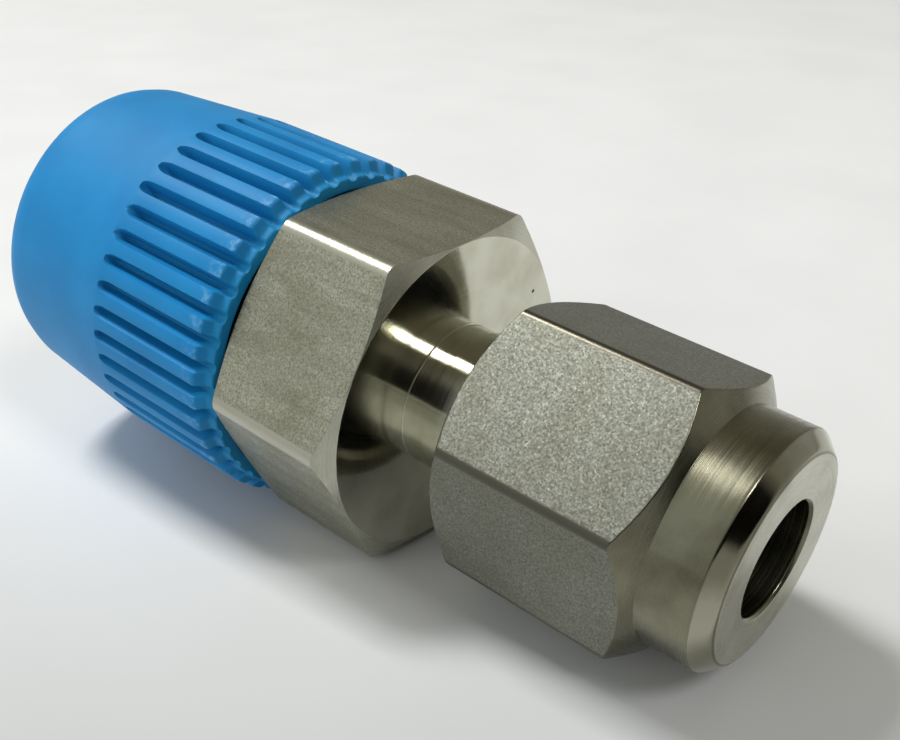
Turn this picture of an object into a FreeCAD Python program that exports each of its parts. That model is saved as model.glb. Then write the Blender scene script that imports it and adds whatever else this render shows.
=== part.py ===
import FreeCAD, Part
import math
import os

os.makedirs("parts", exist_ok=True)

# Male tube connector: a turned body with a hexagon, a tapered pipe end under a push-on cap,
# and a tube end with a union nut that presses two ferrules into the body's mouth.
# Millimetres. X is the axis of the tube and of every turned surface, and +X leaves by the nut.
# The origin is the seat that the tube's end rests on. Flats of the body hexagon face +Z and -Z.

# Tube and flow passage
tube_diameter = 6.0
tube_clearance = 0.05
tube_insertion = 15.3
flow_bore_diameter = 4.8

# Body hexagon, 18 across flats: the land is the height of its flats above the pipe thread
body_hexagon_land = 0.43
body_hexagon_length = 8.4
body_face_inset = 0.05
body_chamfer_angle = 22.0
body_corner_radius = 0.3

# Neck between the hexagon and the nut
neck_diameter = 8.1
neck_length = 1.4
neck_fillet = 0.12
collar_diameter = 8.3
nut_standoff = 4.35

# Tube end of the body, seven sixteenths fine thread with its crests as a plain cylinder
nut_thread_diameter = 11.11
nut_thread_clearance = 0.1
nut_thread_start = 1.5
nut_thread_chamfer = 0.5
mouth_overhang = 0.2

# Tapered pipe end, three eighths, crests as a plain cone
pipe_thread_diameter = 17.14
pipe_thread_length = 15.3
pipe_taper = 1.0 / 16.0
pipe_end_chamfer = 0.9

# Nut
nut_across_flats = 14.0
nut_length = 15.3
nut_hexagon_length = 11.7
nut_face_inset = 0.2
nut_chamfer_angle = 34.0
nut_corner_radius = 0.3
nut_turn_angle = -16.8
hub_diameter = 12.7
hub_edge_radius = 1.0
nut_hole_length = 3.6
nut_hole_chamfer = 0.15
nut_shoulder_angle = 45.0
nut_thread_runout = 0.7
nut_entry_chamfer = 0.35
ferrule_room = 0.35

# Ferrules
ferrule_gap = 0.08
front_ferrule_wall = 1.29
front_ferrule_length = 5.1
front_rim_length = 1.3
front_cone_angle = 12.0
front_rear_bevel = 0.3
back_flange_height = 1.05
back_flange_length = 0.75
back_nose_length = 0.75
back_nose_wall = 0.38
back_tip_wall = 0.16
back_rear_lip = 0.1

# Thread protector cap
cap_gap = 0.27
cap_clearance = 0.12
cap_length = 19.4
cap_end_wall = 1.4
cap_wall = 0.72
cap_tail_drop = 0.65
cap_end_radius = 1.1
cap_rib_length = 9.5
cap_groove_depth = 0.9
cap_rib_count = 42
cap_groove_width = 0.95
cap_groove_floor = 0.45
cap_rim_face = 0.3
cap_mouth_chamfer = 0.25

# Radii about X and the hexagon that they set
body_across_flats = pipe_thread_diameter + 2 * body_hexagon_land
tube_radius = tube_diameter / 2 + tube_clearance
front_rim_radius = tube_radius + front_ferrule_wall
back_flange_radius = tube_radius + back_flange_height

# Places along X, each from the one before it
nut_end = tube_insertion
nut_rear = nut_end - nut_length
hexagon_front = nut_rear - nut_standoff
hexagon_rear = hexagon_front - body_hexagon_length
pipe_end = hexagon_rear - pipe_thread_length
collar_start = hexagon_front + neck_length
thread_start = nut_rear + nut_thread_start
shoulder = nut_end - nut_hole_length
nut_shoulder_slope = math.tan(math.radians(nut_shoulder_angle))
back_rear_tip = shoulder - ferrule_gap / math.sin(math.radians(nut_shoulder_angle))
back_flange_rear = back_rear_tip - back_flange_height / nut_shoulder_slope
back_flange_front = back_flange_rear - back_flange_length
back_tip = back_flange_front - back_nose_length
front_rear = back_flange_front - ferrule_gap
front_tip = front_rear - front_ferrule_length
front_rim_start = front_rear - front_rim_length
front_cone_slope = math.tan(math.radians(front_cone_angle))
mouth = front_rim_start + mouth_overhang
nut_thread_end = mouth + nut_thread_runout
cap_rim = hexagon_rear - cap_gap
cap_end = cap_rim - cap_length
rib_rear = cap_rim - cap_rib_length


def point(x, y, z):
    return FreeCAD.Vector(x, y, z)


# Two-dimensional corner (x, radius) with an optional rounding radius as a third number
def rounded_edges(corners):
    starts = []
    ends = []
    edges = []
    count = len(corners)
    for index, corner in enumerate(corners):
        here = point(corner[0], corner[1], 0)
        radius = corner[2] if len(corner) > 2 else 0
        before = point(corners[index - 1][0], corners[index - 1][1], 0)
        after = point(corners[(index + 1) % count][0], corners[(index + 1) % count][1], 0)
        if radius == 0:
            starts.append(here)
            ends.append(here)
            continue
        back = (before - here).normalize()
        ahead = (after - here).normalize()
        half = back.getAngle(ahead) / 2
        middle = (back + ahead).normalize()
        starts.append(here + back * (radius / math.tan(half)))
        ends.append(here + ahead * (radius / math.tan(half)))
        nearest = here + middle * (radius / math.sin(half) - radius)
        edges.append(Part.Arc(starts[-1], nearest, ends[-1]).toShape())
    for index in range(count):
        following = starts[(index + 1) % count]
        if ends[index].distanceToPoint(following) > 1e-6:
            edges.append(Part.LineSegment(ends[index], following).toShape())
    return Part.Wire(Part.__sortEdges__(edges))


# Solid turned about the X axis from a closed outline of corners
def turned(corners):
    face = Part.Face(rounded_edges(corners))
    return face.revolve(point(0, 0, 0), point(1, 0, 0), 360)


# Prism along X between two opposite pairs of flats, with rounded long corners
def hexagon_bar(across_flats, corner_radius, start, length):
    corner_distance = across_flats / 2 / math.cos(math.radians(30))
    corners = []
    for side in range(6):
        angle = math.radians(60 * side)
        across = corner_distance * math.cos(angle)
        along = corner_distance * math.sin(angle)
        corners.append((across, along, corner_radius))
    bar = Part.Face(rounded_edges(corners)).extrude(point(0, 0, length))
    bar.rotate(point(0, 0, 0), point(0, 1, 0), 90)
    bar.rotate(point(0, 0, 0), point(1, 0, 0), 90)
    bar.translate(point(start, 0, 0))
    return bar


# Space that chamfers both ends of a hexagon, given the radius of the flat left at each end
def chamfer_limit(across_flats, angle, start, end, start_radius, end_radius):
    slope = math.tan(math.radians(angle))
    outside = across_flats
    return turned([
        (start, 0),
        (start, start_radius),
        (start + (outside - start_radius) * slope, outside),
        (end - (outside - end_radius) * slope, outside),
        (end, end_radius),
        (end, 0),
    ])


# Radius of the pipe end's crests at a place along X
def pipe_radius(x):
    return pipe_thread_diameter / 2 - (hexagon_rear - x) * pipe_taper / 2


# Radius of the front ferrule's cone at a place along X
def front_cone_radius(x):
    return front_rim_radius - (front_rim_start - x) * front_cone_slope


cap_mouth_radius = pipe_radius(cap_rim) + cap_clearance
groove_floor_radius = cap_mouth_radius + cap_wall


def make_body():
    hexagon = hexagon_bar(body_across_flats, body_corner_radius, hexagon_rear, body_hexagon_length)
    face_radius = body_across_flats / 2 - body_face_inset
    limit = chamfer_limit(body_across_flats, body_chamfer_angle, hexagon_rear, hexagon_front,
                          face_radius, face_radius)
    hexagon = hexagon.common(limit)
    thread_radius = nut_thread_diameter / 2
    end_radius = pipe_radius(pipe_end + pipe_end_chamfer)
    inside_hexagon = hexagon_front - neck_fillet
    tube_end = turned([
        (inside_hexagon, 0),
        (inside_hexagon, neck_diameter / 2 + 2 * neck_fillet),
        (hexagon_front, neck_diameter / 2 + 2 * neck_fillet),
        (hexagon_front, neck_diameter / 2, neck_fillet),
        (collar_start, neck_diameter / 2),
        (collar_start, collar_diameter / 2),
        (thread_start, collar_diameter / 2),
        (thread_start + nut_thread_chamfer, thread_radius),
        (mouth - nut_thread_chamfer, thread_radius),
        (mouth, thread_radius - nut_thread_chamfer),
        (mouth, 0),
    ])
    pipe = turned([
        (hexagon_front - body_hexagon_length / 2, 0),
        (hexagon_front - body_hexagon_length / 2, pipe_radius(hexagon_rear)),
        (hexagon_rear, pipe_radius(hexagon_rear)),
        (pipe_end + pipe_end_chamfer, end_radius),
        (pipe_end, end_radius - pipe_end_chamfer),
        (pipe_end, 0),
    ])
    seat_gap = ferrule_gap / math.cos(math.radians(front_cone_angle))
    mouth_radius = front_cone_radius(mouth) + seat_gap
    cone_start = mouth - (mouth_radius - tube_radius) / front_cone_slope
    past_mouth = mouth + mouth_overhang
    passage = turned([
        (pipe_end - pipe_end_chamfer, 0),
        (pipe_end - pipe_end_chamfer, flow_bore_diameter / 2),
        (0, flow_bore_diameter / 2),
        (0, tube_radius),
        (cone_start, tube_radius),
        (past_mouth, front_cone_radius(past_mouth) + seat_gap),
        (past_mouth, 0),
    ])
    return hexagon.fuse(pipe).fuse(tube_end).cut(passage).removeSplitter()


def make_nut():
    bar = hexagon_bar(nut_across_flats, nut_corner_radius, nut_rear, nut_hexagon_length)
    hexagon_end = nut_rear + nut_hexagon_length
    limit = chamfer_limit(nut_across_flats, nut_chamfer_angle, nut_rear, hexagon_end,
                          nut_across_flats / 2 - nut_face_inset, hub_diameter / 2)
    hub = turned([
        (hexagon_end - nut_hexagon_length / 2, 0),
        (hexagon_end - nut_hexagon_length / 2, hub_diameter / 2),
        (nut_end, hub_diameter / 2, hub_edge_radius),
        (nut_end, 0),
    ])
    bore_radius = nut_thread_diameter / 2 + nut_thread_clearance
    room_radius = front_rim_radius + ferrule_room
    cavity = turned([
        (nut_rear - nut_entry_chamfer, 0),
        (nut_rear - nut_entry_chamfer, bore_radius + 2 * nut_entry_chamfer),
        (nut_rear + nut_entry_chamfer, bore_radius),
        (nut_thread_end, bore_radius),
        (nut_thread_end, room_radius),
        (shoulder - (room_radius - tube_radius) / nut_shoulder_slope, room_radius),
        (shoulder, tube_radius),
        (nut_end - nut_hole_chamfer, tube_radius),
        (nut_end + nut_hole_chamfer, tube_radius + 2 * nut_hole_chamfer),
        (nut_end + nut_hole_chamfer, 0),
    ])
    nut = bar.common(limit).fuse(hub).cut(cavity).removeSplitter()
    nut.rotate(point(0, 0, 0), point(1, 0, 0), nut_turn_angle)
    return nut


def make_front_ferrule():
    recess_radius = tube_radius + back_nose_wall + ferrule_gap
    tip_recess_radius = tube_radius + back_tip_wall + ferrule_gap
    return turned([
        (front_tip, tube_radius),
        (front_tip, front_cone_radius(front_tip)),
        (front_rim_start, front_rim_radius),
        (front_rear - front_rear_bevel, front_rim_radius),
        (front_rear, front_rim_radius - front_rear_bevel),
        (front_rear, recess_radius),
        (back_tip - ferrule_gap, tip_recess_radius),
        (back_tip - ferrule_gap, tube_radius),
    ])


def make_back_ferrule():
    lip_end = back_rear_tip - back_rear_lip / nut_shoulder_slope
    return turned([
        (back_tip, tube_radius),
        (back_tip, tube_radius + back_tip_wall),
        (back_flange_front, tube_radius + back_nose_wall),
        (back_flange_front, back_flange_radius),
        (back_flange_rear, back_flange_radius),
        (lip_end, tube_radius + back_rear_lip),
        (lip_end, tube_radius),
    ])


# One straight groove of the cap, wider at its top, cut from the rim back to the plain tail
def cap_groove(angle):
    top_radius = groove_floor_radius + 2 * cap_groove_depth
    top_width = 2 * cap_groove_width - cap_groove_floor
    outline = Part.makePolygon([
        point(rib_rear, -cap_groove_floor / 2, groove_floor_radius),
        point(rib_rear, cap_groove_floor / 2, groove_floor_radius),
        point(rib_rear, top_width / 2, top_radius),
        point(rib_rear, -top_width / 2, top_radius),
        point(rib_rear, -cap_groove_floor / 2, groove_floor_radius),
    ])
    groove = Part.Face(outline).extrude(point(cap_rib_length + cap_gap, 0, 0))
    groove.rotate(point(0, 0, 0), point(1, 0, 0), angle)
    return groove


def make_cap():
    rib_radius = groove_floor_radius + cap_groove_depth
    shell = turned([
        (cap_end, 0),
        (cap_end, rib_radius - cap_tail_drop, cap_end_radius),
        (rib_rear, rib_radius),
        (cap_rim - cap_rim_face, rib_radius),
        (cap_rim, groove_floor_radius),
        (cap_rim, 0),
    ])
    inner_end = cap_end + cap_end_wall
    hollow = turned([
        (inner_end, 0),
        (inner_end, pipe_radius(inner_end) + cap_clearance),
        (cap_rim - cap_mouth_chamfer, cap_mouth_radius),
        (cap_rim + cap_mouth_chamfer, cap_mouth_radius + 2 * cap_mouth_chamfer),
        (cap_rim + cap_mouth_chamfer, 0),
    ])
    grooves = []
    for index in range(cap_rib_count):
        grooves.append(cap_groove(360.0 * index / cap_rib_count))
    return shell.cut(hollow).cut(Part.makeCompound(grooves))


solids = {
    "connector_body": make_body(),
    "tube_nut": make_nut(),
    "front_ferrule": make_front_ferrule(),
    "back_ferrule": make_back_ferrule(),
    "thread_protector_cap": make_cap(),
}

for name, shape in solids.items():
    shape.exportStep("parts/" + name + ".step")
    box = shape.BoundBox
    print(name, len(shape.Solids), shape.isValid(), round(shape.Volume, 2),
          round(box.XMin, 2), round(box.XMax, 2), round(box.ZMin, 2), round(box.ZMax, 2))
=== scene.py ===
import bpy
import bmesh
import math
import random
from mathutils import Matrix, Vector


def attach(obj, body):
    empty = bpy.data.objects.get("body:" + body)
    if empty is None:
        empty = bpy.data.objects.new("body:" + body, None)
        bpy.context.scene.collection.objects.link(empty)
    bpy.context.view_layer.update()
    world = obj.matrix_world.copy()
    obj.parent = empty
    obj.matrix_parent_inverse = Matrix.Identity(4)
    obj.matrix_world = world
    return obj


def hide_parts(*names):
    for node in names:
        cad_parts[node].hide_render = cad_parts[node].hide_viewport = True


# Looks of a male tube connector: turned and milled stainless steel with a blue moulded cap on its pipe end.
# Shapes are modelled in millimetres about X, the axis of the tube, and made metres at the end.
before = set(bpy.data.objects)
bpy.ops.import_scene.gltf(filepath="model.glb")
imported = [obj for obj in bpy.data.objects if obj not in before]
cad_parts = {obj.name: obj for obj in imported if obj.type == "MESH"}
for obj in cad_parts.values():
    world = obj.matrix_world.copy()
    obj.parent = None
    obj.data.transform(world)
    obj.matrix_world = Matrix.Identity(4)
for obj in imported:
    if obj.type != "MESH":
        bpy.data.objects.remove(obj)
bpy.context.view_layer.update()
random.seed(11)
millimetre = 0.001
mergeGap = 0.0004  # mm: points nearer than this are one
arcShares = (-1, -0.6, -0.2, 0.2, 0.6, 1)  # points of a hexagon's corner arc, as shares of its half angle
edgeArcPoints = 4
edgeHoldReach = 1.6  # where a rounded edge's holding rows stand, in setbacks
flatHold = 0.12  # mm from a corner arc to its flat's holding row


def linearColour(hexText):
    channels = []
    for start in (0, 2, 4):
        value = int(hexText[start:start + 2], 16) / 255
        channels.append(value / 12.92 if value <= 0.04045 else ((value + 0.055) / 1.055) ** 2.4)
    return (channels[0], channels[1], channels[2], 1.0)


def addNode(tree, kind, settings=None, inputs=None):
    node = tree.nodes.new(kind)
    for key, value in (settings or {}).items():
        setattr(node, key, value)
    for socket, value in (inputs or {}).items():
        if isinstance(value, bpy.types.NodeSocket):
            tree.links.new(value, node.inputs[socket])
        else:
            node.inputs[socket].default_value = linearColour(value) if isinstance(value, str) else value
    return node


def blendFactor(low, high, value):
    share = max(0.0, min(1.0, (value - low) / (high - low)))
    return share * share * (3 - 2 * share)


# Outline corner (x, radius, setback): a setback turns the corner into a small arc with a holding row at each side
def softenedOutline(corners):
    points = []
    for index, (x, r, setback) in enumerate(corners):
        here = Vector((x, r))
        if setback == 0 or index in (0, len(corners) - 1):
            points.append(here)
            continue
        back = (Vector(corners[index - 1][:2]) - here).normalized()
        ahead = (Vector(corners[index + 1][:2]) - here).normalized()
        points.append(here + back * setback * edgeHoldReach)
        for step in range(edgeArcPoints):
            t = step / (edgeArcPoints - 1)
            points.append(here + back * setback * (1 - t) ** 2 + ahead * setback * t ** 2)
        points.append(here + ahead * setback * edgeHoldReach)
    return points


# Stations round a hexagon, each (angle, distance from the axis, 1 on a corner arc): arc, holding point, flat
def hexagonStations(acrossFlats, cornerRadius, flatSteps):
    apothem = acrossFlats / 2
    reach = (apothem - cornerRadius) / math.cos(math.radians(30))
    stations = []
    for corner in range(6):
        middle = math.radians(60 * corner)
        centre = Vector((math.cos(middle), math.sin(middle))) * reach
        arc = []
        for share in arcShares:
            normal = middle + math.radians(30 * share)
            arc.append(centre + Vector((math.cos(normal), math.sin(normal))) * cornerRadius)
        arcEnd = arc[-1]
        nextMiddle = middle + math.radians(60)
        nextCentre = Vector((math.cos(nextMiddle), math.sin(nextMiddle))) * reach
        normal = nextMiddle - math.radians(30)
        flatEnd = nextCentre + Vector((math.cos(normal), math.sin(normal))) * cornerRadius
        flatRun = flatEnd - arcEnd
        hold = flatHold / flatRun.length
        flat = [arcEnd + flatRun * hold]
        for step in range(1, flatSteps):
            flat.append(arcEnd + flatRun * (hold + (1 - 2 * hold) * step / flatSteps))
        flat.append(arcEnd + flatRun * (1 - hold))
        stations.extend((math.atan2(p.y, p.x), p.length, 1.0) for p in arc)
        stations.extend((math.atan2(p.y, p.x), p.length, 0.0) for p in flat)
    return stations


# Spins the outline chains about X and moves each spun station to its own angle; a point on the axis stays there
def spunBar(chains, stations):
    mesh = bmesh.new()
    layer = mesh.verts.layers.int.new("station")
    mesh.verts.layers.float.new("corner")
    for chain in chains:
        vertices = [mesh.verts.new((p.x, p.y, 0)) for p in chain]
        for first, second in zip(vertices, vertices[1:]):
            mesh.edges.new((first, second))
    count = len(stations)
    bmesh.ops.spin(mesh, geom=mesh.verts[:] + mesh.edges[:], cent=(0, 0, 0), axis=(1, 0, 0), dvec=(0, 0, 0),
                   angle=2 * math.pi, steps=count, use_merge=True)
    for vertex in mesh.verts:
        radius = math.hypot(vertex.co.y, vertex.co.z)
        if radius < 1e-6:
            continue
        turn = math.atan2(vertex.co.z, vertex.co.y) / (2 * math.pi)
        station = round(turn * count) % count
        vertex[layer] = station
        angle = stations[station][0]
        vertex.co.y = radius * math.cos(angle)
        vertex.co.z = radius * math.sin(angle)
    return mesh, layer


# Mills the flats: the round bar's rows past the end faces move out to the hexagon, and its chamfered ends follow.
# Each end is (x, radius where the hexagon starts, slope of its chamfer).
def millHexagon(mesh, layer, stations, apothem, front, rear):
    middle = (front[0] + rear[0]) / 2
    corner = mesh.verts.layers.float["corner"]
    for vertex in mesh.verts:
        radius = math.hypot(vertex.co.y, vertex.co.z)
        if not rear[0] - 0.001 <= vertex.co.x <= front[0] + 0.001:
            continue
        (endX, startRadius, slope), side = (front, 1) if vertex.co.x > middle else (rear, -1)
        if radius < startRadius:
            continue
        angle, reach, onCorner = stations[vertex[layer]]
        growth = reach - apothem
        scale = (radius + growth) / radius
        vertex.co.y *= scale
        vertex.co.z *= scale
        vertex.co.x -= side * growth * slope
        vertex[corner] = onCorner


# One thread: its ridge profile is spun with an advance of one pitch a turn, so the turns join into one helix.
# It starts and ends more than a turn outside its length and is cut there.
def threadHelix(pitch, profile, startX, endX, steps):
    mesh = bmesh.new()
    turns = int(math.ceil((endX - startX) / pitch)) + 3
    previous = None
    for turn in range(turns):
        for along, radius in profile:
            x = startX - 1.5 * pitch + pitch * (turn + along)
            vertex = mesh.verts.new((x, radius, 0))
            if previous:
                mesh.edges.new((previous, vertex))
            previous = vertex
    bmesh.ops.spin(mesh, geom=mesh.verts[:] + mesh.edges[:], cent=(0, 0, 0), axis=(1, 0, 0),
                   dvec=(pitch / steps, 0, 0), angle=2 * math.pi, steps=steps, use_merge=False)
    bmesh.ops.remove_doubles(mesh, verts=mesh.verts[:], dist=mergeGap)
    for place, outward in ((startX, -1), (endX, 1)):
        bmesh.ops.bisect_plane(mesh, geom=mesh.verts[:] + mesh.edges[:] + mesh.faces[:], dist=0.00001,
                               plane_co=(place, 0, 0), plane_no=(outward, 0, 0), clear_outer=True, clear_inner=False)
    return mesh


# Gives each point the radius that the rule says for its x and its radius now
def moveRadius(mesh, rule):
    for vertex in mesh.verts:
        radius = math.hypot(vertex.co.y, vertex.co.z)
        scale = rule(vertex.co.x, radius) / radius
        vertex.co.y *= scale
        vertex.co.z *= scale


def addMesh(target, source):
    carrier = bpy.data.meshes.new("carrier")
    source.to_mesh(carrier)
    source.free()
    target.from_mesh(carrier)
    bpy.data.meshes.remove(carrier)


# Bridges the two open loops at x whose radius is between low and high, such as a thread's end and its bar's
def bridgeOpenLoops(mesh, x, low, high):
    loop = []
    for edge in mesh.edges:
        if not edge.is_boundary:
            continue
        if all(abs(v.co.x - x) < 0.002 and low < math.hypot(v.co.y, v.co.z) < high for v in edge.verts):
            loop.append(edge)
    bmesh.ops.bridge_loops(mesh, edges=loop)


def finishPiece(name, mesh, materials, body, nodeName, sharpAngle, region):
    bmesh.ops.remove_doubles(mesh, verts=mesh.verts[:], dist=mergeGap)
    bmesh.ops.recalc_face_normals(mesh, faces=mesh.faces[:])
    for face in mesh.faces:
        face.smooth = True
        face.material_index = region(face)
    openEdges = sum(1 for edge in mesh.edges if not edge.is_manifold)
    bmesh.ops.scale(mesh, vec=(millimetre, millimetre, millimetre), verts=mesh.verts[:])
    data = bpy.data.meshes.new(name)
    mesh.to_mesh(data)
    mesh.free()
    data.set_sharp_from_angle(angle=math.radians(sharpAngle))
    piece = bpy.data.objects.new(name, data)
    bpy.context.scene.collection.objects.link(piece)
    for material in materials:
        data.materials.append(material)
    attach(piece, body)
    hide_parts(nodeName)
    print(name, len(data.polygons), "faces", openEdges, "open edges")


# Position, and its x and distance from the axis
def latheCoordinates(tree):
    place = addNode(tree, "ShaderNodeTexCoord")
    across = addNode(tree, "ShaderNodeVectorMath", {"operation": "MULTIPLY"},
                     {0: place.outputs["Object"], 1: (0, 1, 1)})
    radius = addNode(tree, "ShaderNodeVectorMath", {"operation": "LENGTH"}, {0: across.outputs["Vector"]})
    parts = addNode(tree, "ShaderNodeSeparateXYZ", None, {"Vector": place.outputs["Object"]})
    return place.outputs["Object"], parts.outputs["X"], radius.outputs["Value"]


def newMaterial(name):
    material = bpy.data.materials.new(name)
    material.use_nodes = True
    material.node_tree.nodes.clear()
    return material, material.node_tree


# One colour gives way to another while the value goes from low to high; the shares say how much of the other shows
def changingColour(tree, value, low, high, first, second, lowShare=0, highShare=1):
    share = addNode(tree, "ShaderNodeMapRange", None, {"Value": value, "From Min": low, "From Max": high,
                                                       "To Min": lowShare, "To Max": highShare})
    blend = addNode(tree, "ShaderNodeMix", {"data_type": "RGBA"},
                    {0: share.outputs["Result"], 6: first, 7: second})
    return blend.outputs[2]


# Small random facets: each cell leans the surface its own way, as blasted or tumbled metal does
def facetNormal(tree, position, scale, lean):
    grains = addNode(tree, "ShaderNodeTexVoronoi", None, {"Vector": position, "Scale": scale})
    centred = addNode(tree, "ShaderNodeVectorMath", {"operation": "SUBTRACT"},
                      {0: grains.outputs["Color"], 1: (0.5, 0.5, 0.5)})
    leaned = addNode(tree, "ShaderNodeVectorMath", {"operation": "SCALE"},
                     {0: centred.outputs["Vector"], "Scale": lean})
    geometry = addNode(tree, "ShaderNodeNewGeometry")
    summed = addNode(tree, "ShaderNodeVectorMath", {"operation": "ADD"},
                     {0: geometry.outputs["Normal"], 1: leaned.outputs["Vector"]})
    unit = addNode(tree, "ShaderNodeVectorMath", {"operation": "NORMALIZE"}, {0: summed.outputs["Vector"]})
    return unit.outputs["Vector"]


# Drawn hexagon stainless, tumbled after milling: a warm grey satin with fine grain and worn brighter corners.
# Its grain is about 0.1 mm across, coarser than the real one so that it shows, and the die's streaks run along X.
def drawnHexagonSteel():
    material, tree = newMaterial("drawn hexagon stainless")
    position = addNode(tree, "ShaderNodeTexCoord").outputs["Object"]
    fine = addNode(tree, "ShaderNodeTexNoise", None, {"Vector": position, "Scale": 9000, "Detail": 3})
    stretched = addNode(tree, "ShaderNodeMapping", None, {"Vector": position, "Scale": (0.15, 1, 1)})
    drawn = addNode(tree, "ShaderNodeTexNoise", None, {"Vector": stretched.outputs["Vector"], "Scale": 1300,
                                                       "Detail": 5})
    broad = addNode(tree, "ShaderNodeTexNoise", None, {"Vector": position, "Scale": 330, "Detail": 4})
    grain = changingColour(tree, fine.outputs["Fac"], 0.32, 0.68, "908E7B", "C6C5B3")
    streaked = changingColour(tree, drawn.outputs["Fac"], 0.35, 0.62, grain, "807D6B", 0.4, 0)
    handled = changingColour(tree, broad.outputs["Fac"], 0.44, 0.64, streaked, "7A7762", 0, 0.35)
    corner = addNode(tree, "ShaderNodeAttribute", {"attribute_name": "corner"})
    cornerTone = changingColour(tree, corner.outputs["Fac"], 0, 1, handled, "BAB8A8")
    patchy = addNode(tree, "ShaderNodeMapRange", None, {"Value": broad.outputs["Fac"], "From Min": 0.35,
                                                        "From Max": 0.65, "To Min": 0.38, "To Max": 0.46})
    rough = addNode(tree, "ShaderNodeMath", {"operation": "MULTIPLY_ADD"},
                    {0: corner.outputs["Fac"], 1: -0.06, 2: patchy.outputs["Result"]})
    lean = addNode(tree, "ShaderNodeMapRange", None, {"Value": corner.outputs["Fac"], "To Min": 0.17, "To Max": 0.04})
    normal = facetNormal(tree, position, 11000, lean.outputs["Result"])
    surface = addNode(tree, "ShaderNodeBsdfPrincipled", None,
                      {"Base Color": cornerTone, "Metallic": 1.0, "Roughness": rough.outputs["Value"], "Normal": normal})
    addNode(tree, "ShaderNodeOutputMaterial", None, {"Surface": surface.outputs["BSDF"]})
    return material


# Stainless turned on the lathe: rings of tool marks about the axis spread a reflection across themselves.
# The rings are about 0.12 mm apart, a medium feed. Depths are in mm, and a pit (place, radius) is a small dark mark.
def turnedSteel(name, colour, shade, roughness, spread, ringDepth, dentDepth, pits=()):
    material, tree = newMaterial(name)
    position, x, radius = latheCoordinates(tree)
    rings = addNode(tree, "ShaderNodeCombineXYZ", None, {"X": x, "Y": radius})
    feed = addNode(tree, "ShaderNodeTexNoise", None, {"Vector": rings.outputs["Vector"], "Scale": 8000, "Detail": 2})
    cloud = addNode(tree, "ShaderNodeTexNoise", None, {"Vector": position, "Scale": 420, "Detail": 5})
    dents = addNode(tree, "ShaderNodeTexNoise", None, {"Vector": position, "Scale": 800, "Detail": 3})
    tint = changingColour(tree, cloud.outputs["Fac"], 0.4, 0.66, colour, shade)
    for place, size in pits:
        gap = addNode(tree, "ShaderNodeVectorMath", {"operation": "DISTANCE"},
                      {0: position, 1: Vector(place) * millimetre})
        edge = size * millimetre
        tint = changingColour(tree, gap.outputs["Value"], edge * 0.6, edge * 1.1, "1C1A14", tint)
    rough = addNode(tree, "ShaderNodeMapRange", None, {"Value": feed.outputs["Fac"], "From Min": 0.3, "From Max": 0.7,
                                                       "To Min": roughness * 0.8, "To Max": roughness * 1.25})
    dented = addNode(tree, "ShaderNodeBump", None, {"Height": dents.outputs["Fac"], "Strength": 1.0,
                                                    "Distance": dentDepth * millimetre})
    bump = addNode(tree, "ShaderNodeBump", None, {"Height": feed.outputs["Fac"], "Strength": 1.0,
                                                  "Distance": ringDepth * millimetre,
                                                  "Normal": dented.outputs["Normal"]})
    around = addNode(tree, "ShaderNodeTangent", {"direction_type": "RADIAL", "axis": "X"})
    surface = addNode(tree, "ShaderNodeBsdfPrincipled", None,
                      {"Base Color": tint, "Metallic": 1.0, "Roughness": rough.outputs["Result"],
                       "Normal": bump.outputs["Normal"], "Anisotropic": spread, "Anisotropic Rotation": 0.25,
                       "Tangent": around.outputs["Tangent"]})
    addNode(tree, "ShaderNodeOutputMaterial", None, {"Surface": surface.outputs["BSDF"]})
    return material


# Bead-blasted stainless: matte grey with a sparkle of single facets, corners rubbed smooth and painted darker as a
# shade line along each edge.
# The facets are 0.08 mm across, about as fine as the render can show.
def beadBlastedSteel():
    material, tree = newMaterial("bead-blasted stainless")
    position = addNode(tree, "ShaderNodeTexCoord").outputs["Object"]
    corner = addNode(tree, "ShaderNodeAttribute", {"attribute_name": "corner"})
    lean = addNode(tree, "ShaderNodeMapRange", None, {"Value": corner.outputs["Fac"], "To Min": 0.13, "To Max": 0.02})
    normal = facetNormal(tree, position, 12000, lean.outputs["Result"])
    fine = addNode(tree, "ShaderNodeTexNoise", None, {"Vector": position, "Scale": 8500, "Detail": 3})
    broad = addNode(tree, "ShaderNodeTexNoise", None, {"Vector": position, "Scale": 300, "Detail": 4})
    grain = changingColour(tree, fine.outputs["Fac"], 0.3, 0.7, "67685E", "94958A")
    handled = changingColour(tree, broad.outputs["Fac"], 0.4, 0.65, grain, "6B6855", 0, 0.3)
    # Painted shade: the corner arcs are coloured darker so that each corner reads as a dark line
    cornerTone = changingColour(tree, corner.outputs["Fac"], 0, 1, handled, "605D52")
    rough = addNode(tree, "ShaderNodeMath", {"operation": "MULTIPLY_ADD"},
                    {0: corner.outputs["Fac"], 1: -0.16, 2: 0.48})
    surface = addNode(tree, "ShaderNodeBsdfPrincipled", None,
                      {"Base Color": cornerTone, "Metallic": 1.0, "Roughness": rough.outputs["Value"], "Normal": normal})
    addNode(tree, "ShaderNodeOutputMaterial", None, {"Surface": surface.outputs["BSDF"]})
    return material


capShadeAndWear = {  # mm along X and from the axis: where each starts and is full
    "ribs": (-22.4, -21.8), "grooves": (10.18, 9.45), "rim": (-15.0, -13.7), "crests": (10.18, 10.28),
}
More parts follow.
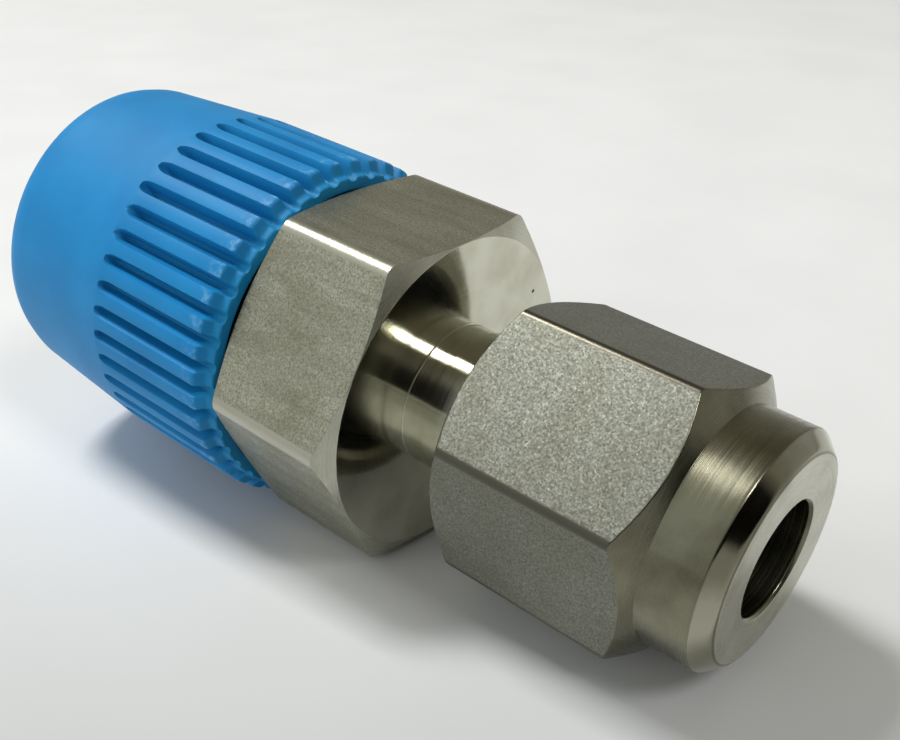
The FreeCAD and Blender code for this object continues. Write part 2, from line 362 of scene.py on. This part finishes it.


# Injection moulded polyethylene: waxy satin blue, painted shade in the grooves as a darker teal, and pale scuffs on
# the crests by the rim.
# The colour wanders over about 4 mm, the skin's grain is 0.24 mm and the scuffs are 0.4 mm across.
def mouldedPolyethylene():
    material, tree = newMaterial("moulded blue polyethylene")
    position, x, radius = latheCoordinates(tree)
    cloud = addNode(tree, "ShaderNodeTexNoise", None, {"Vector": position, "Scale": 260, "Detail": 5})
    fine = addNode(tree, "ShaderNodeTexNoise", None, {"Vector": position, "Scale": 4200, "Detail": 3})
    place = {}
    for area, value in (("ribs", x), ("grooves", radius), ("rim", x), ("crests", radius)):
        start, full = (edge * millimetre for edge in capShadeAndWear[area])
        within = addNode(tree, "ShaderNodeMapRange", None, {"Value": value, "From Min": start, "From Max": full})
        place[area] = within.outputs["Result"]
    base = changingColour(tree, cloud.outputs["Fac"], 0, 1, "0670AE", "148CCA")
    # Painted shade: the grooves get a darker teal, more towards their floors, varied by the cloud
    grooveShadeMask = addNode(tree, "ShaderNodeMath", {"operation": "MULTIPLY"}, {0: place["ribs"], 1: place["grooves"]})
    shadeVariation = addNode(tree, "ShaderNodeMapRange", None, {"Value": cloud.outputs["Fac"], "From Min": 0.3,
                                                           "From Max": 0.6, "To Min": 0.6, "To Max": 1.0})
    patchy = addNode(tree, "ShaderNodeMath", {"operation": "MULTIPLY"},
                     {0: grooveShadeMask.outputs["Value"], 1: shadeVariation.outputs["Result"]})
    grooveShaded = changingColour(tree, patchy.outputs["Value"], 0, 1, base, "1F83A8", 0, 0.45)
    scratches = addNode(tree, "ShaderNodeTexNoise", None, {"Vector": position, "Scale": 2600, "Detail": 6})
    scuff = addNode(tree, "ShaderNodeMapRange", None, {"Value": scratches.outputs["Fac"], "From Min": 0.46,
                                                       "From Max": 0.66})
    raised = addNode(tree, "ShaderNodeMath", {"operation": "MULTIPLY"}, {0: place["crests"], 1: place["rim"]})
    scuffed = addNode(tree, "ShaderNodeMath", {"operation": "MULTIPLY"},
                      {0: scuff.outputs["Result"], 1: raised.outputs["Value"]})
    colour = changingColour(tree, scuffed.outputs["Value"], 0, 1, grooveShaded, "86B8DC", 0, 0.6)
    bump = addNode(tree, "ShaderNodeBump", None, {"Height": fine.outputs["Fac"], "Strength": 1.0,
                                                  "Distance": 0.000006})
    surface = addNode(tree, "ShaderNodeBsdfPrincipled", None,
                      {"Base Color": colour, "Roughness": 0.55, "IOR": 1.51, "Specular IOR Level": 0.28,
                       "Subsurface Weight": 0.06, "Subsurface Scale": 0.0005, "Normal": bump.outputs["Normal"]})
    addNode(tree, "ShaderNodeOutputMaterial", None, {"Surface": surface.outputs["BSDF"]})
    return material


bodyShape = {
    "acrossFlats": 18.0, "cornerRadius": 0.75, "hexagonRear": -12.75, "hexagonFront": -4.35,
    "faceRadius": 8.95, "chamferAngle": 22.0, "flatSteps": 9, "edgeSetback": 0.012,
    "neckRadius": 4.05, "neckFillet": 0.06, "collarStart": -2.95, "collarRadius": 4.15,
    "threadStart": 1.5, "mouth": 8.607, "threadRadius": 5.555, "mouthRadius": 4.464, "coneStart": 1.954,
    "tubeRadius": 3.05, "flowRadius": 2.4, "collarSlope": 2.2, "threadChamfer": 0.5, "mouthLand": 0.95,
    "pipeEnd": -28.05, "pipeChamfer": 0.9, "pipeRadius": 8.57, "pipeTaper": 1 / 32, "pipeFaceRadius": 6.6,
    "runOut": (-14.6, -13.1), "sharpAngle": 28, "flatsFrom": 8.4, "neckFrom": 3.5,
}
fineThread = {"pitch": 1.27, "depth": 0.78, "crest": 0.16, "root": 0.16, "start": 1.5, "end": 8.607, "steps": 96}
pipeThread = {"pitch": 1.411, "depth": 1.1, "crest": 0.12, "root": 0.12, "start": -28.05, "end": -13.0, "steps": 96}


# One pitch of a V thread, crest at the middle, as (share of the pitch, radius)
def ridgeProfile(thread, crestRadius, inward=-1):
    root = crestRadius + inward * thread["depth"]
    halfRoot = thread["root"] / 2
    halfCrest = thread["crest"] / 2
    middle = (halfRoot + 0.5 - halfCrest) / 2
    rise = [(0.0, root), (halfRoot, root), (middle, (root + crestRadius) / 2), (0.5 - halfCrest, crestRadius)]
    fall = [(0.5, crestRadius), (0.5 + halfCrest, crestRadius), (1 - middle, (root + crestRadius) / 2),
            (1 - halfRoot, root)]
    return rise + fall


def pipeCrest(x):
    return bodyShape["pipeRadius"] - (bodyShape["hexagonRear"] - x) * bodyShape["pipeTaper"]


def makeBody(materials):
    b = bodyShape
    stations = hexagonStations(b["acrossFlats"], b["cornerRadius"], b["flatSteps"])
    apothem = b["acrossFlats"] / 2
    slope = math.tan(math.radians(b["chamferAngle"]))
    inset = (apothem - b["faceRadius"]) * slope
    e = b["edgeSetback"]
    middle = softenedOutline([
        (pipeThread["end"], pipeCrest(pipeThread["end"]), 0),
        (b["hexagonRear"], pipeCrest(b["hexagonRear"]), 0.03),
        (b["hexagonRear"], b["faceRadius"], e),
        (b["hexagonRear"] + inset, apothem, e),
        (b["hexagonFront"] - inset, apothem, e),
        (b["hexagonFront"], b["faceRadius"], e),
        (b["hexagonFront"], b["neckRadius"], b["neckFillet"]),
        (b["collarStart"], b["neckRadius"], 0.02),
        (b["collarStart"], b["collarRadius"], 0.03),
        (b["threadStart"], b["collarRadius"], 0),
    ])
    inside = softenedOutline([
        (b["mouth"], b["threadRadius"] - b["mouthLand"], 0),
        (b["mouth"], b["mouthRadius"], 0.03),
        (b["coneStart"], b["tubeRadius"], 0.05),
        (0, b["tubeRadius"], 0.05),
        (0, b["flowRadius"], 0.05),
        (b["pipeEnd"], b["flowRadius"], 0.08),
        (b["pipeEnd"], b["pipeFaceRadius"], 0),
    ])
    mesh, layer = spunBar([middle, inside], stations)
    end = (b["faceRadius"] + apothem) / 2
    millHexagon(mesh, layer, stations, apothem, (b["hexagonFront"], end, slope), (b["hexagonRear"], end, slope))

    fine = threadHelix(fineThread["pitch"], ridgeProfile(fineThread, b["threadRadius"]), fineThread["start"],
                       fineThread["end"], fineThread["steps"])

    def fineRule(x, radius):
        atCollar = b["collarRadius"] + (x - b["threadStart"]) * b["collarSlope"]
        atMouth = b["threadRadius"] - b["threadChamfer"] + b["mouth"] - x
        return min(radius, atCollar, atMouth)
    moveRadius(fine, fineRule)
    addMesh(mesh, fine)

    pipe = threadHelix(pipeThread["pitch"], ridgeProfile(pipeThread, b["pipeRadius"]), pipeThread["start"],
                       pipeThread["end"], pipeThread["steps"])

    def pipeRule(x, radius):
        depth = (b["pipeRadius"] - radius) * (1 - blendFactor(*b["runOut"], x))
        chamfer = pipeCrest(b["pipeEnd"] + b["pipeChamfer"]) - b["pipeChamfer"] + (x - b["pipeEnd"])
        return min(pipeCrest(x) - depth, chamfer)
    moveRadius(pipe, pipeRule)
    addMesh(mesh, pipe)

    bmesh.ops.remove_doubles(mesh, verts=mesh.verts[:], dist=mergeGap)
    for x, low, high in ((pipeThread["end"], 8.0, 9.0), (b["threadStart"], 3.9, 4.5), (b["mouth"], 4.5, 5.4),
                         (b["pipeEnd"], 6.5, 7.5)):
        bridgeOpenLoops(mesh, x, low, high)

    flats, fineTurned, turned, chamfers = range(4)
    halfway = (b["hexagonRear"] + b["hexagonFront"]) / 2

    def region(face):
        centre = face.calc_center_median()
        radius = math.hypot(centre.y, centre.z)
        if b["hexagonRear"] - 0.02 < centre.x < b["hexagonFront"] + 0.02 and radius > b["flatsFrom"]:
            if abs(face.normal.x) < 0.5:
                return flats
            return fineTurned if radius < b["faceRadius"] + 0.02 and centre.x > halfway else chamfers
        if b["hexagonFront"] - 0.05 < centre.x < b["threadStart"] + 0.1 and radius > b["neckFrom"]:
            return fineTurned
        return turned
    mesh.normal_update()
    finishPiece("connectorBodyLook", mesh, materials, "body", "connector_body", b["sharpAngle"], region)


nutShape = {
    "acrossFlats": 14.0, "cornerRadius": 0.4, "length": 15.3, "hexagonLength": 11.7, "rearFaceRadius": 6.8,
    "chamferAngle": 34.0, "turn": -16.8, "flatSteps": 8, "hubRadius": 6.35, "hubEdge": 0.85,
    "boreRadius": 5.655, "entryRadius": 6.005, "threadStart": 0.35, "threadEnd": 9.307, "roomRadius": 4.69,
    "shoulder": 11.7, "tubeRadius": 3.05, "holeChamfer": 0.15, "edgeSetback": 0.05, "ridgeInnerRadius": 4.95,
    "runOut": (8.4, 9.1), "sharpAngle": 28,
}


def makeNut(materials):
    n = nutShape
    stations = hexagonStations(n["acrossFlats"], n["cornerRadius"], n["flatSteps"])
    turn = math.radians(n["turn"])
    stations = [(angle + turn, reach, arc) for angle, reach, arc in stations]
    apothem = n["acrossFlats"] / 2
    slope = math.tan(math.radians(n["chamferAngle"]))
    e = n["edgeSetback"]
    rearInset = (apothem - n["rearFaceRadius"]) * slope
    frontInset = (apothem - n["hubRadius"]) * slope
    outside = softenedOutline([
        (n["threadStart"], n["boreRadius"], 0),
        (0, n["entryRadius"], 0.04),
        (0, n["rearFaceRadius"], 0.04),
        (rearInset, apothem, 0.04),
        (n["hexagonLength"] - frontInset, apothem, e),
        (n["hexagonLength"], n["hubRadius"], 0.04),
        (n["length"] - n["hubEdge"], n["hubRadius"], 0.10),
        (n["length"], n["hubRadius"] - n["hubEdge"], 0.22),
        (n["length"], n["tubeRadius"] + n["holeChamfer"], 0.04),
        (n["length"] - n["holeChamfer"], n["tubeRadius"], 0.04),
        (n["shoulder"], n["tubeRadius"], 0.05),
        (n["shoulder"] - (n["roomRadius"] - n["tubeRadius"]), n["roomRadius"], 0.05),
        (n["threadEnd"], n["roomRadius"], 0.05),
        (n["threadEnd"], n["boreRadius"], 0),
    ])
    mesh, layer = spunBar([outside], stations)
    rearLimit = (n["rearFaceRadius"] + apothem) / 2
    millHexagon(mesh, layer, stations, apothem, (n["hexagonLength"], n["hubRadius"] + 0.2, slope),
                (0, rearLimit, slope))

    inner = {"pitch": fineThread["pitch"], "depth": n["boreRadius"] - n["ridgeInnerRadius"],
             "crest": 0.2, "root": 0.12, "steps": 96}
    profile = ridgeProfile(inner, n["ridgeInnerRadius"], 1)
    shifted = [(share + 0.5, radius) for share, radius in profile]
    ridge = threadHelix(inner["pitch"], shifted, n["threadStart"], n["threadEnd"], inner["steps"])

    def ridgeRule(x, radius):
        faded = radius + (n["boreRadius"] - radius) * blendFactor(*n["runOut"], x)
        return max(faded, n["entryRadius"] - x)
    moveRadius(ridge, ridgeRule)
    addMesh(mesh, ridge)
    bmesh.ops.remove_doubles(mesh, verts=mesh.verts[:], dist=mergeGap)
    for x in (n["threadStart"], n["threadEnd"]):
        bridgeOpenLoops(mesh, x, 5.5, 5.8)

    flats, turned, endFace, hubChamfer = range(4)

    def region(face):
        centre = face.calc_center_median()
        radius = math.hypot(centre.y, centre.z)
        if 0.02 < centre.x < n["hexagonLength"] - 0.05 and radius > n["rearFaceRadius"] and abs(face.normal.x) < 0.2:
            return flats
        if centre.x > n["length"] - 0.02:
            return endFace
        if centre.x > n["length"] - n["hubEdge"] and radius > n["hubRadius"] - n["hubEdge"]:
            return hubChamfer
        return turned
    mesh.normal_update()
    finishPiece("tubeNutLook", mesh, materials, "nut", "tube_nut", n["sharpAngle"], region)


capShape = {
    "end": -32.42, "rim": -13.02, "ribRear": -22.52, "tailRadius": 9.65, "ribRadius": 10.3, "endEdge": 1.1,
    "floorRadius": 9.4, "ringRadius": 9.6, "mouthRadius": 8.681, "mouthChamfer": 0.25, "innerEnd": -31.02,
    "clearance": 0.12, "ribs": 42, "grooveEnd": 0.8, "grooveStartSpread": 0.25, "endWidth": 0.35, "flatRadius": 4.0,
    "tailRows": ((-29.5, 0.19), (-26.0, 0.42)), "ribRows": (0, 0.1, 0.25, 0.45, 0.8, 1.3, 3.02, 5.02, 7.02, 8.32),
    "rimStep": (0.78, 0.45), "sharpAngle": 40,
}
# Shares of one pitch from the middle of a groove to its neighbour's, and how deep the groove is there
grooveStations = (-0.5, -0.34, -0.255, -0.21, -0.155, -0.09, 0.0, 0.09, 0.155, 0.21, 0.255, 0.34)
grooveDepths = (0.0, 0.0, 0.03, 0.20, 0.62, 0.92, 1.0, 0.92, 0.62, 0.20, 0.03, 0.0)


# The ribs are what stays between the grooves: each groove narrows and rises to a rounded end at its rear
def makeCap(materials):
    c = capShape
    pitch = 2 * math.pi / c["ribs"]
    perRib = len(grooveStations)
    stations = [(pitch * (rib + share), 1.0, 0.0) for rib in range(c["ribs"]) for share in grooveStations]
    tail = [(x, c["tailRadius"] + rise, 0.3) for x, rise in c["tailRows"]]
    ribs = [(c["ribRear"] + along, c["ribRadius"], 0) for along in c["ribRows"]]
    ribFront, ringRear = (c["rim"] - step for step in c["rimStep"])
    outline = softenedOutline([
        (c["end"], 0, 0),
        (c["end"], c["flatRadius"], 0.5),
        (c["end"], c["tailRadius"], c["endEdge"]),
        *tail,
        (c["ribRear"] - 0.6, c["ribRadius"] - 0.04, 0.3),
        *ribs,
        (ribFront, c["ribRadius"], 0.16),
        (ringRear, c["ringRadius"] + 0.1, 0.1),
        (c["rim"], c["ringRadius"], 0.1),
        (c["rim"], c["mouthRadius"] + c["mouthChamfer"], 0.05),
        (c["rim"] - c["mouthChamfer"], c["mouthRadius"], 0.05),
        (c["innerEnd"], pipeCrest(c["innerEnd"]) + c["clearance"], 0.2),
        (c["innerEnd"], c["flatRadius"], 0.5),
        (c["innerEnd"], 0, 0),
    ])
    mesh, layer = spunBar([outline], stations)
    starts = [random.uniform(0.0, c["grooveStartSpread"]) for rib in range(c["ribs"])]
    for vertex in mesh.verts:
        radius = math.hypot(vertex.co.y, vertex.co.z)
        x = vertex.co.x
        if x < c["ribRear"] - 0.001 or radius < c["floorRadius"] + 0.001:
            continue
        rib, step = divmod(vertex[layer], perRib)
        share = grooveStations[step]
        along = max(0.0, min(1.0, (x - c["ribRear"] - starts[rib]) / c["grooveEnd"]))
        rounding = math.sqrt(max(0.0, 1 - (1 - along) ** 2))
        newRadius = radius - (radius - c["floorRadius"]) * grooveDepths[step] * rounding
        squeeze = c["endWidth"] + (1 - c["endWidth"]) * rounding if abs(share) < 0.34 else 1.0
        angle = pitch * (rib + share * squeeze)
        vertex.co.y = newRadius * math.cos(angle)
        vertex.co.z = newRadius * math.sin(angle)
    finishPiece("protectorCapLook", mesh, materials, "cap", "thread_protector_cap", c["sharpAngle"],
                lambda face: 0)


# The camera stands where the photograph was taken from
cameraShape = {"lens": 47.15, "sensor": 36, "shiftX": 0.05, "shiftY": 0.08,
               "eye": (28.96, -44.17, 33.40), "azimuth": 39.44, "elevation": 33.64, "roll": 4.52}


def makeCamera():
    s = cameraShape
    a, e, r = (math.radians(s[key]) for key in ("azimuth", "elevation", "roll"))
    back = Vector((math.sin(a) * math.cos(e), -math.cos(a) * math.cos(e), math.sin(e)))
    flatRight = Vector((math.cos(a), math.sin(a), 0))
    flatUp = back.cross(flatRight)
    right = flatRight * math.cos(r) + flatUp * math.sin(r)
    up = flatUp * math.cos(r) - flatRight * math.sin(r)
    data = bpy.data.cameras.new("camera")
    data.lens = s["lens"]
    data.sensor_width = s["sensor"]
    data.sensor_fit = "HORIZONTAL"
    data.shift_x = s["shiftX"]
    data.shift_y = s["shiftY"]
    data.clip_start = 0.001
    data.clip_end = 10
    camera = bpy.data.objects.new("camera", data)
    bpy.context.scene.collection.objects.link(camera)
    turn = Matrix((right, up, back)).transposed().to_4x4()
    turn.translation = Vector(s["eye"]) * millimetre
    camera.matrix_world = turn
    bpy.context.scene.camera = camera


# Lengths in mm, but shadowFrom and shadowTo in metres towards nearWay: where the painted shadow on the table starts
# and is full
floorShape = {"capTouch": (-13.32, -10.302), "nutTouch": (10.6, -7.84), "size": 3000.0,
              "nearWay": (0.55, -0.83, 0), "shadowFrom": -0.012, "shadowTo": 0.042}


# The fitting lies on its cap's ribs and on one corner of the nut, so the table slopes in the fitting's own frame.
# The table is pale, with a painted shadow that makes it greyer towards the front.
def makeFloor():
    s = floorShape
    run = s["nutTouch"][0] - s["capTouch"][0]
    rise = s["nutTouch"][1] - s["capTouch"][1]
    tilt = math.atan2(rise, run)
    height = s["capTouch"][1] - s["capTouch"][0] * math.tan(tilt)
    mesh = bmesh.new()
    bmesh.ops.create_grid(mesh, x_segments=1, y_segments=1, size=s["size"] / 2)
    bmesh.ops.rotate(mesh, cent=(0, 0, 0), matrix=Matrix.Rotation(-tilt, 3, "Y"), verts=mesh.verts[:])
    bmesh.ops.translate(mesh, vec=(0, 0, height), verts=mesh.verts[:])
    bmesh.ops.scale(mesh, vec=(millimetre, millimetre, millimetre), verts=mesh.verts[:])
    data = bpy.data.meshes.new("tableTop")
    mesh.to_mesh(data)
    mesh.free()
    floor = bpy.data.objects.new("tableTop", data)
    bpy.context.scene.collection.objects.link(floor)
    material, tree = newMaterial("painted table top")
    place = addNode(tree, "ShaderNodeTexCoord")
    nearness = addNode(tree, "ShaderNodeVectorMath", {"operation": "DOT_PRODUCT"},
                       {0: place.outputs["Object"], 1: s["nearWay"]})
    mottle = addNode(tree, "ShaderNodeTexNoise", None, {"Vector": place.outputs["Object"], "Scale": 60, "Detail": 6})
    pale = changingColour(tree, mottle.outputs["Fac"], 0.35, 0.65, "E6E7E7", "EAEBEB")
    # Painted shadow: the table darkens towards the front
    frontShadow = changingColour(tree, nearness.outputs["Value"], s["shadowFrom"], s["shadowTo"], pale, "A6A8A7")
    surface = addNode(tree, "ShaderNodeBsdfPrincipled", None, {"Base Color": frontShadow, "Roughness": 0.6})
    addNode(tree, "ShaderNodeOutputMaterial", None, {"Surface": surface.outputs["BSDF"]})
    data.materials.append(material)


roomShape = {
    "lampWays": ((-0.56, -0.10, 0.82), (0.53, -0.10, 0.84), (-0.25, -0.90, 0.32)), "lampPowers": (2.4, 0.9, 0.6),
    "lampSizes": (150, 150, 350), "lampDistance": 600,
    "overhead": "7F7B6C", "horizon": "B4B4AE", "strength": 0.9, "shadeFloor": (0.085, 0.13),
    "patches": (  # colour, way, cosines where it starts and is full, whether it stays off the horizon
        ("DADEDC", (-0.42, -0.86, 0.30), 0.35, 0.90, False),
        ("0C0B0A", (0.92, -0.20, 0.30), 0.78, 0.90, True),
        ("0C0B0A", (0.68, -0.70, 0.18), 0.84, 0.93, True),
    ),
}


# Two soft lamps above, a third low in front that fills the shadows without a glint in the metal, and a plain room:
# pale at the front left, dimmer overhead, and dark beyond the nut's end and to its front, but not at the horizon
def makeRoom():
    s = roomShape
    for index, (way, power, size) in enumerate(zip(s["lampWays"], s["lampPowers"], s["lampSizes"])):
        data = bpy.data.lights.new("softLamp%d" % index, "AREA")
        data.shape = "SQUARE"
        data.size = size * millimetre
        data.energy = power
        lamp = bpy.data.objects.new("softLamp%d" % index, data)
        bpy.context.scene.collection.objects.link(lamp)
        lamp.location = Vector(way).normalized() * s["lampDistance"] * millimetre
        lamp.rotation_mode = "QUATERNION"
        lamp.rotation_quaternion = (-lamp.location).to_track_quat("-Z", "Y")
        lamp.visible_glossy = index < 2
    world = bpy.data.worlds.new("room")
    bpy.context.scene.world = world
    world.use_nodes = True
    tree = world.node_tree
    tree.nodes.clear()
    way = addNode(tree, "ShaderNodeTexCoord")
    parts = addNode(tree, "ShaderNodeSeparateXYZ", None, {"Vector": way.outputs["Generated"]})
    room = changingColour(tree, parts.outputs["Z"], 0.1, 0.7, s["horizon"], s["overhead"])
    low, high = s["shadeFloor"]
    above = addNode(tree, "ShaderNodeMapRange", None,
                    {"Value": parts.outputs["Z"], "From Min": low, "From Max": high})
    for colour, middle, start, full, offHorizon in s["patches"]:
        toward = addNode(tree, "ShaderNodeVectorMath", {"operation": "DOT_PRODUCT"},
                         {0: way.outputs["Generated"], 1: Vector(middle).normalized()})
        within = addNode(tree, "ShaderNodeMapRange", None,
                         {"Value": toward.outputs["Value"], "From Min": start, "From Max": full})
        amount = addNode(tree, "ShaderNodeMath", {"operation": "MULTIPLY"},
                         {0: within.outputs["Result"], 1: above.outputs["Result"] if offHorizon else 1.0})
        room = changingColour(tree, amount.outputs["Value"], 0, 1, room, colour)
    lighting = addNode(tree, "ShaderNodeBackground", None, {"Color": room, "Strength": s["strength"]})
    addNode(tree, "ShaderNodeOutputWorld", None, {"Surface": lighting.outputs["Background"]})


drawn = drawnHexagonSteel()
# Name, two colours, roughness, spread along the tool marks, depth of the rings and of the broad dents in mm
# The fine cut of the body's face, neck and collar mirrors its surroundings, and has one pit
mirror = turnedSteel("fine turned stainless", "CFCEBF", "BCBAA9", 0.12, 0.85, 0.0003, 0.002,
                     [((-4.35, 6.6, 4.11), 0.13)])
# The hub's chamfer is as smooth but darker, and holds a sharp dark band
bright = turnedSteel("bright turned stainless", "A9A796", "96937F", 0.11, 0.6, 0.0003, 0.002)
# Hub, threads and pipe end have a coarser cut, so what they mirror is blurred
machined = turnedSteel("turned stainless", "868471", "716E5C", 0.26, 0.4, 0.0006, 0.012)
# The nut's end face, the body's chamfers and the ferrules are pale satin
satin = turnedSteel("satin turned stainless", "C4C3B5", "B0AE9F", 0.28, 0.4, 0.0006, 0.003)
blasted = beadBlastedSteel()
blue = mouldedPolyethylene()

makeBody([drawn, mirror, machined, satin])
print("body done")
makeNut([blasted, machined, satin, bright])
print("nut done")
makeCap([blue])
print("cap done")
for ferrule in ("front_ferrule", "back_ferrule"):
    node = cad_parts[ferrule]
    node.data.materials.clear()
    node.data.materials.append(satin)
makeFloor()
makeCamera()
makeRoom()
bpy.context.scene.view_settings.view_transform = "Standard"
print("stage done")
